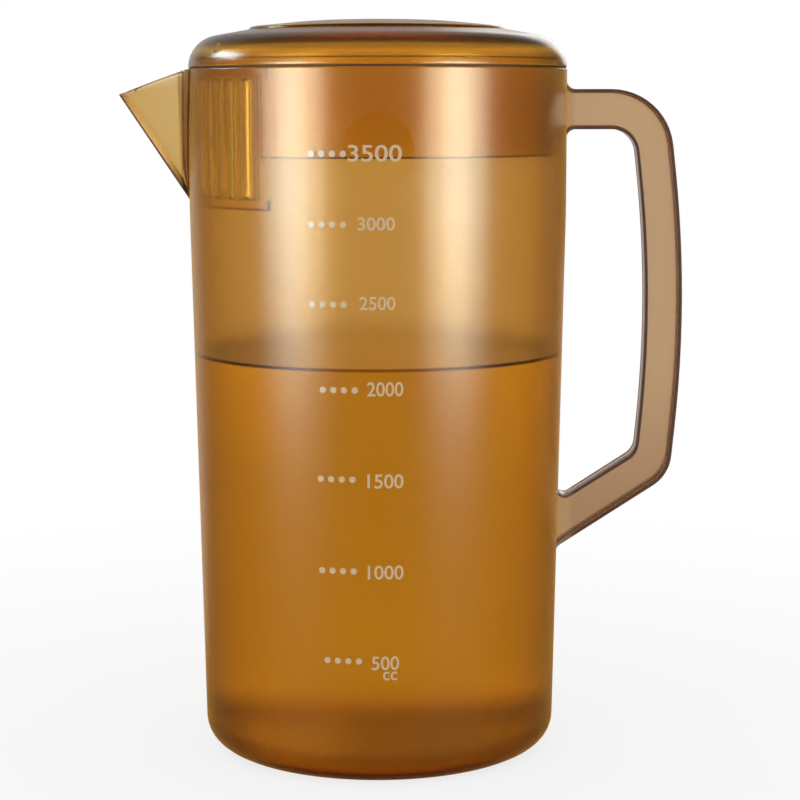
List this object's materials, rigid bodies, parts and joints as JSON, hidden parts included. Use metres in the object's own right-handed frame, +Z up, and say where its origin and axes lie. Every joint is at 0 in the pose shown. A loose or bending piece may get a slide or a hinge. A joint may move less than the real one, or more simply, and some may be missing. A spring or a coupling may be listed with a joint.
{
  "type": "measuring jug with strainer lid",
  "caption": "Tapered see-through jug with a beak spout, a D handle and a domed plug lid that turns to put its strainer at the spout.",
  "frame": {"origin": "middle of the foot ring, on the jug's axis, on the surface that the jug stands on", "axes": "+Z up along the jug's axis, -X towards the spout, +X towards the handle"},
  "size_m": [0.2201, 0.147, 0.285],
  "materials": {
    "frosted_amber": "frosted, see-through amber plastic",
    "clear_amber": "glossy, clear amber plastic",
    "soft_seal": "soft, dark amber silicone"
  },
  "bodies": {
    "jug": {"jug_body": "frosted_amber", "pour_spout": "frosted_amber", "handle": "frosted_amber"},
    "gasket": {"lid_gasket": "soft_seal"},
    "lid": {"lid_dome": "clear_amber", "lid_top_disc": "clear_amber", "lid_skirt": "clear_amber", "strainer_panel": "clear_amber", "lid_pointer": "clear_amber"}
  },
  "joints": [
    {"name": "lid_lift", "type": "slide", "parent": "jug", "child": "gasket", "axis": [0, 0, 1], "range_m": [0, 0.07]},
    {"name": "lid_turn", "type": "hinge", "parent": "gasket", "child": "lid", "pos_m": [0, 0, 0.2671], "axis": [0, 0, 1], "continuous": true}
  ]
}
